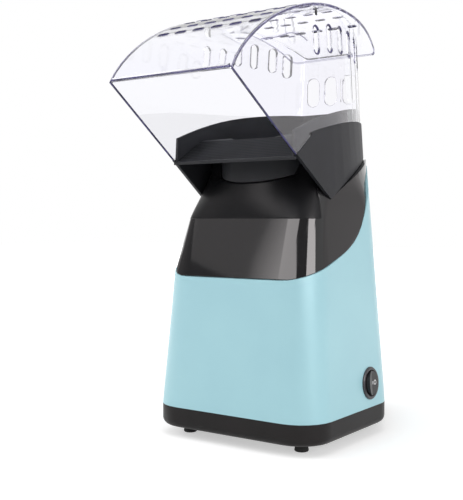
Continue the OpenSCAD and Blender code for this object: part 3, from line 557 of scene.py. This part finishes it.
# Painted shade on the edges of the slots and ovals, where the clear walls are seen edge-on
fit(rod("side_slot_edges", slots, 0.2, True, 6, x_way), "cover", "clear_plastic", faint_edge_shade)
# On the wall that faces the switch, the slots' round ends are darkened with painted shade
ends = round_ends(slots[6:])
fit(rod("side_slot_ends", ends, 0.75, False, 6, x_way), "cover", "clear_plastic", dark_edge_shade)
fit(rod("rear_oval_edges", rear_ovals(), 0.2, True, 6, y_way), "cover", "clear_plastic", faint_edge_shade)

# ---- floor of the chute --------------------------------------------------------------------------


def ribbed_floor():
    """Skin on the chute's sloped floor, across by along: the floor's straight line, lifted off it by fine
    ribs, which are a cosine of the way along."""
    half, foot, run = 49.8, np.array([-52.8, 200.0]), np.array([29.3, 17.6])
    length, out = 34.2, np.array([-0.51, 0.86])  # of the slope, and the way off it
    pitch, base, rib = 2.6, 0.1, 0.08
    v = np.linspace(0.04, 0.94, 160)[:, None]
    lift = base + rib * (1 + np.cos(2 * np.pi * v * length / pitch))
    y, z = (foot + v * run + lift * out).T
    u = np.array([[-half], [half]])
    return surface("chute_floor_ribs", np.stack(np.broadcast_arrays(u, y, z), -1) * MM)


fit(ribbed_floor(), "cover", "chute_plastic", shaded_floor_pp)

# ---- marks on the rocker -------------------------------------------------------------------------

SWITCH = np.array([68.914, 23.5, 39.8])  # the switch's middle, on the outer face of the side wall
OUT, UP, REAR = np.array([0.99776, 0, 0.06685]), np.array([-0.06685, 0, 0.99776]), np.array([0, 1.0, 0])
INK_LIFT = np.array([-0.03, 0.05, 0.05, -0.03])  # of a mark's four lines: rim, top, top, rim


def on_rocker(u, v, lift):
    """Point on the rocker's face: u rearwards, v up and lift off the face, whose two halves slope 9 degrees
    up from the valley and whose body is turned 9 degrees about the pin."""
    tilt = np.radians(9)
    valley, pin_depth = 2.8, 1.2  # height of the valley above the pin, and of the wall's face above it
    w = valley + np.abs(u) * np.tan(tilt) + lift
    along, out = u * np.cos(tilt) + w * np.sin(tilt), w * np.cos(tilt) - u * np.sin(tilt) - pin_depth
    return SWITCH + along[..., None] * REAR + v[..., None] * UP + out[..., None] * OUT


def ring_mark():
    """Round mark, angle by radius: a flat band between two circles whose rims are drawn down to the face."""
    angle = np.linspace(0, 2 * np.pi, 40, endpoint=False)[:, None]
    radius = np.array([1.2, 1.25, 1.8, 1.85])
    grid = on_rocker(4.5 + radius * np.cos(angle), radius * np.sin(angle), INK_LIFT + 0 * angle)
    return surface("rocker_off_mark", grid * MM, True)


def bar_mark():
    """Straight mark, width by height: a flat bar whose rims are drawn down to the face."""
    u, v = 1.1 + np.array([-0.4, -0.35, 0.35, 0.4]), np.array([-1.2, -1.15, 1.15, 1.2])
    lift = np.minimum(INK_LIFT[:, None], INK_LIFT)
    return surface("rocker_on_mark", on_rocker(u[:, None] + 0 * lift, v + 0 * lift, lift) * MM)


fit(ring_mark(), "switch_rocker", "switch_plastic", marking_ink)
fit(bar_mark(), "switch_rocker", "switch_plastic", marking_ink)

# ---- studio --------------------------------------------------------------------------------------


def sees_backdrop(tree):
    """1 for a ray from the camera, off a mirror or through clear plastic, and 0 for one that lights the
    object: the largest of the three kinds' own outputs."""
    ray = add(tree, "ShaderNodeLightPath")
    either = add(tree, "ShaderNodeMath", {"operation": "MAXIMUM"},
                 {0: ray.outputs["Is Camera Ray"], 1: ray.outputs["Is Glossy Ray"]})
    return add(tree, "ShaderNodeMath", {"operation": "MAXIMUM"},
               {0: either.outputs[0], 1: ray.outputs["Is Transmission Ray"]}).outputs[0]


def room():
    """World: white where a ray sees the backdrop, and a soft 0.6 where it lights the object."""
    world = bpy.data.worlds.new("studio")
    world.use_nodes = True
    sky = world.node_tree
    sky.nodes.clear()
    light = add(sky, "ShaderNodeBackground", {"Color": linear("#ffffff"), "Strength": 0.6})
    backdrop = add(sky, "ShaderNodeBackground", {"Color": linear("#ffffff"), "Strength": 1.0})
    both = add(sky, "ShaderNodeMixShader", {},
               {0: sees_backdrop(sky), 1: light.outputs[0], 2: backdrop.outputs[0]})
    add(sky, "ShaderNodeOutputWorld", {}, {"Surface": both.outputs[0]})
    return world


def paper_floor():
    """Flat floor of pale paper, 8 metres wide. Where a ray sees the backdrop its glow grows with the distance
    from the object, from 0.5 to full white, so that the object's shadow stays."""
    material, tree, output, place = start("pale_studio_paper")
    paper = add(tree, "ShaderNodeBsdfDiffuse", {"Color": linear("#d8d8d8")})
    away = add(tree, "ShaderNodeVectorMath", {"operation": "LENGTH"}, {0: place})
    fade = add(tree, "ShaderNodeMapRange",
               {"From Min": 0.22, "From Max": 0.9, "To Min": 0.5, "To Max": 1.0},
               {"Value": away.outputs["Value"]})
    glow = add(tree, "ShaderNodeMath", {"operation": "MULTIPLY"},
               {0: sees_backdrop(tree), 1: fade.outputs[0]})
    white = add(tree, "ShaderNodeEmission", {"Color": linear("#ffffff")}, {"Strength": glow.outputs[0]})
    total = add(tree, "ShaderNodeAddShader", {}, {0: paper.outputs[0], 1: white.outputs[0]})
    tree.links.new(total.outputs[0], output.inputs["Surface"])
    reach = np.array([-4.0, 4.0])
    floor = surface("floor", np.stack(np.broadcast_arrays(reach[:, None], reach[None], 0.0), -1))
    floor.data.materials.append(material)


def lamp(name, azimuth, height, distance, width, tall, radiance):
    """Soft box that faces the middle of the object and that reflections leave out. Azimuth is measured from
    straight ahead towards the right, and its power is pi times radiance times area."""
    angle, middle = np.radians(azimuth), np.array([0, 0.02, 0.17])
    data = bpy.data.lights.new(name, "AREA")
    data.shape, data.size, data.size_y = "RECTANGLE", width, tall
    data.energy = np.pi * radiance * width * tall
    light = bpy.data.objects.new(name, data)
    light.location = (distance * np.sin(angle), -distance * np.cos(angle), height)
    way = middle - np.array(light.location)
    light.rotation_euler = (np.arctan2(np.hypot(way[0], way[1]), -way[2]), 0, np.arctan2(-way[0], way[1]))
    light.visible_glossy = False
    bpy.context.scene.collection.objects.link(light)


def reflector(name, left, right, low, high, dim, bright, ramp=(-1.0, 1.0)):
    """Curved card that only reflections see: azimuth from left to right by height from low to high, half a
    metre from the middle. Its glow rises from dim to bright between the two x of ramp."""
    azimuth, height = np.radians(np.linspace(left, right, 32))[:, None], np.array([low, high])[None]
    grid = np.stack(np.broadcast_arrays(0.5 * np.sin(azimuth), -0.5 * np.cos(azimuth), height), -1)
    card = surface(name, grid)
    material, tree, output, place = start(name + "_card")
    spot = add(tree, "ShaderNodeSeparateXYZ", {}, {0: place})
    glow = add(tree, "ShaderNodeMapRange",
               {"From Min": ramp[0], "From Max": ramp[1], "To Min": dim, "To Max": bright},
               {"Value": spot.outputs["X"]})
    light = add(tree, "ShaderNodeEmission", {"Color": linear("#fffafa")}, {"Strength": glow.outputs[0]})
    tree.links.new(light.outputs[0], output.inputs["Surface"])
    card.data.materials.append(material)
    card.visible_camera = card.visible_diffuse = card.visible_transmission = card.visible_shadow = False


bpy.context.scene.view_settings.view_transform = "Standard"
bpy.context.scene.world = room()
paper_floor()

lamp("key_left", -62.0, 0.75, 1.4, 0.8, 0.9, 4.0)
lamp("fill_right", 75.0, 0.5, 1.5, 0.6, 0.9, 4.2)
lamp("top", 10.0, 1.5, 0.3, 0.9, 0.9, 1.6)

reflector("front_reflector", -34.0, 17.0, 0.345, 0.66, 0.9, 5.4, (-0.285, -0.228))
reflector("left_reflector", -75.0, -34.2, 0.345, 0.66, 0.85, 0.9)
reflector("front_flag", -110.0, 17.0, 0.158, 0.343, 0.3, 0.3)
reflector("corner_flag", 18.0, 53.0, 0.156, 0.66, 0.3, 0.3)
reflector("side_reflector", 56.0, 82.0, 0.156, 0.62, 9.0, 9.0)
reflector("side_flag", 120.0, 165.0, 0.156, 0.5, 0.78, 0.78)
